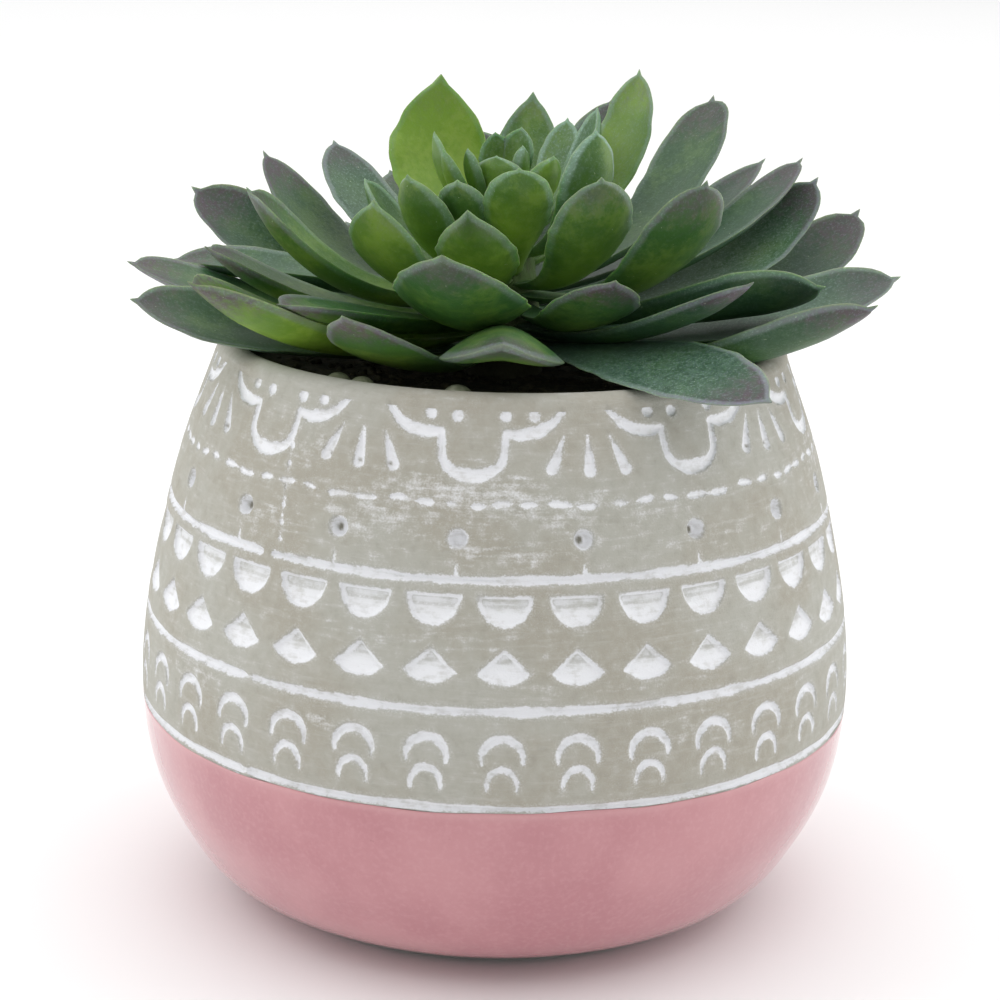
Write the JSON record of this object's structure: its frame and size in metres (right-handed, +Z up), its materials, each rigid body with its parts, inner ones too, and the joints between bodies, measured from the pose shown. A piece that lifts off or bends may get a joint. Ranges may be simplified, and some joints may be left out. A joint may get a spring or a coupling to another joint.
{
  "type": "potted succulent",
  "caption": "Rosette succulent with thick pointed leaves in a rounded ceramic pot, bare stamped clay above a glossy pink glazed base.",
  "frame": {"origin": "centre of the flat foot that the pot stands on", "axes": "+Z up along the pot's axis; the pot's front, as pictured, faces -Y"},
  "size_m": [0.1247, 0.12, 0.1385],
  "materials": {
    "bare_clay": "matt unglazed stoneware with white paint rubbed into the stamps",
    "pink_glaze": "glossy dusty pink glaze",
    "soil": "loose dark potting soil",
    "bead": "small smooth pebble",
    "stem": "woody green stalk",
    "leaf": "waxy frosted green with purple tips",
    "heart": "waxy light green"
  },
  "bodies": {
    "root": {"bead_1": "bead", "bead_2": "bead", "bead_3": "bead", "bead_4": "bead", "heart": "heart", "leaf_inner_01": "leaf", "leaf_inner_02": "leaf", "leaf_inner_03": "leaf", "leaf_inner_04": "leaf", "leaf_inner_05": "leaf", "leaf_inner_06": "leaf", "leaf_inner_07": "leaf", "leaf_inner_08": "leaf", "leaf_inner_09": "leaf", "leaf_inner_10": "leaf", "leaf_inner_11": "leaf", "leaf_inner_12": "leaf", "leaf_inner_13": "leaf", "leaf_inner_14": "leaf", "leaf_middle_01": "leaf", "leaf_middle_02": "leaf", "leaf_middle_03": "leaf", "leaf_middle_04": "leaf", "leaf_middle_05": "leaf", "leaf_middle_06": "leaf", "leaf_middle_07": "leaf", "leaf_middle_08": "leaf", "leaf_middle_09": "leaf", "leaf_middle_10": "leaf", "leaf_middle_11": "leaf", "leaf_middle_12": "leaf", "leaf_middle_13": "leaf", "leaf_middle_14": "leaf", "leaf_middle_15": "leaf", "leaf_middle_16": "leaf", "leaf_middle_17": "leaf", "leaf_middle_18": "leaf", "leaf_middle_19": "leaf", "leaf_outer_01": "leaf", "leaf_outer_02": "leaf", "leaf_outer_03": "leaf", "leaf_outer_04": "leaf", "leaf_outer_05": "leaf", "leaf_outer_06": "leaf", "leaf_outer_07": "leaf", "leaf_outer_08": "leaf", "leaf_outer_09": "leaf", "leaf_outer_10": "leaf", "leaf_outer_11": "leaf", "leaf_outer_12": "leaf", "leaf_outer_13": "leaf", "leaf_outer_14": "leaf", "leaf_outer_15": "leaf", "leaf_outer_16": "leaf", "leaf_outer_17": "leaf", "leaf_outer_18": "leaf", "pink_glaze": "pink_glaze", "pot": "bare_clay", "soil": "soil", "stem": "stem"}
  },
  "joints": []
}
